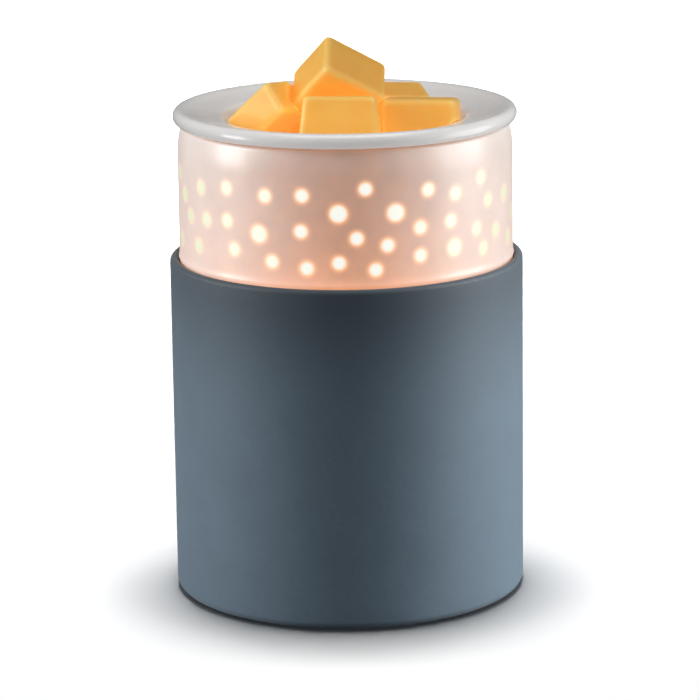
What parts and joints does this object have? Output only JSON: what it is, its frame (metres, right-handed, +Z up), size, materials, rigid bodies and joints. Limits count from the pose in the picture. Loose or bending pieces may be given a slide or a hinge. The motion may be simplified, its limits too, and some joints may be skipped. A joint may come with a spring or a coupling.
{
  "type": "wax warmer",
  "caption": "Electric wax warmer: lift-out ceramic dish of wax melts over a lamp in a porcelain shade with light dots, standing in a soft sleeve.",
  "frame": {"origin": "middle of the footprint, on the surface that the feet stand on", "axes": "+Z up along the shade's axis, -Y towards the front, +Y towards the cord outlet"},
  "size_m": [0.125, 0.125, 0.1998],
  "materials": {
    "feet_rubber": "matte black rubber",
    "black_plastic": "moulded black, fine texture",
    "zinc_steel": "zinc plated",
    "sleeve_silicone": "matte blue-grey silicone",
    "shade_porcelain": "glossy white translucent porcelain",
    "shield_aluminium": "bright rolled sheet",
    "holder_ceramic": "unglazed white ceramic",
    "brass": "plain brass",
    "reflector_mirror": "aluminised glass",
    "lamp_glass": "clear glass",
    "lamp_glow": "lit lamp capsule",
    "lead_insulation": "woven sleeving over silicone",
    "dish_glaze": "glossy light grey glaze",
    "orange_wax": "smooth translucent orange wax"
  },
  "bodies": {
    "base": {"foot_1": "feet_rubber", "foot_2": "feet_rubber", "foot_3": "feet_rubber", "foot_4": "feet_rubber", "cord_grommet": "feet_rubber", "bottom_cover": "black_plastic", "base_ring": "black_plastic", "base_deck": "black_plastic", "terminal_block": "black_plastic", "cover_screw_1": "zinc_steel", "cover_screw_2": "zinc_steel", "cover_screw_3": "zinc_steel", "cover_screw_4": "zinc_steel", "bracket_screw_left": "zinc_steel", "bracket_screw_right": "zinc_steel", "holder_screw_left": "zinc_steel", "holder_screw_right": "zinc_steel", "terminal_screw_left": "zinc_steel", "terminal_screw_right": "zinc_steel", "lamp_bracket": "zinc_steel", "outer_sleeve": "sleeve_silicone", "porcelain_shade": "shade_porcelain", "heat_shield": "shield_aluminium", "lamp_holder": "holder_ceramic", "contact_left": "brass", "contact_right": "brass", "lead_left": "lead_insulation", "lead_right": "lead_insulation"},
    "lamp": {"lamp_cap": "holder_ceramic", "lamp_pin_left": "brass", "lamp_pin_right": "brass", "lamp_reflector": "reflector_mirror", "lamp_lens": "lamp_glass", "lamp_capsule": "lamp_glow"},
    "dish": {"wax_dish": "dish_glaze"},
    "melts": {"melt_front": "orange_wax", "melt_right": "orange_wax", "melt_left": "orange_wax", "melt_back_left": "orange_wax", "melt_back_right": "orange_wax"},
    "top_melt": {"melt_top": "orange_wax"}
  },
  "joints": [
    {"name": "lamp_twist", "type": "hinge", "parent": "base", "child": "lamp", "pos_m": [0, 0, 0.068], "axis": [0, 0, 1], "range_deg": [0, 25]},
    {"name": "dish_lift", "type": "slide", "parent": "base", "child": "dish", "axis": [0, 0, 1], "range_m": [0, 0.06]},
    {"name": "melts_lift", "type": "slide", "parent": "dish", "child": "melts", "axis": [0, 0, 1], "range_m": [0, 0.03]},
    {"name": "top_melt_lift", "type": "slide", "parent": "melts", "child": "top_melt", "axis": [0, 0, 1], "range_m": [0, 0.02]}
  ]
}
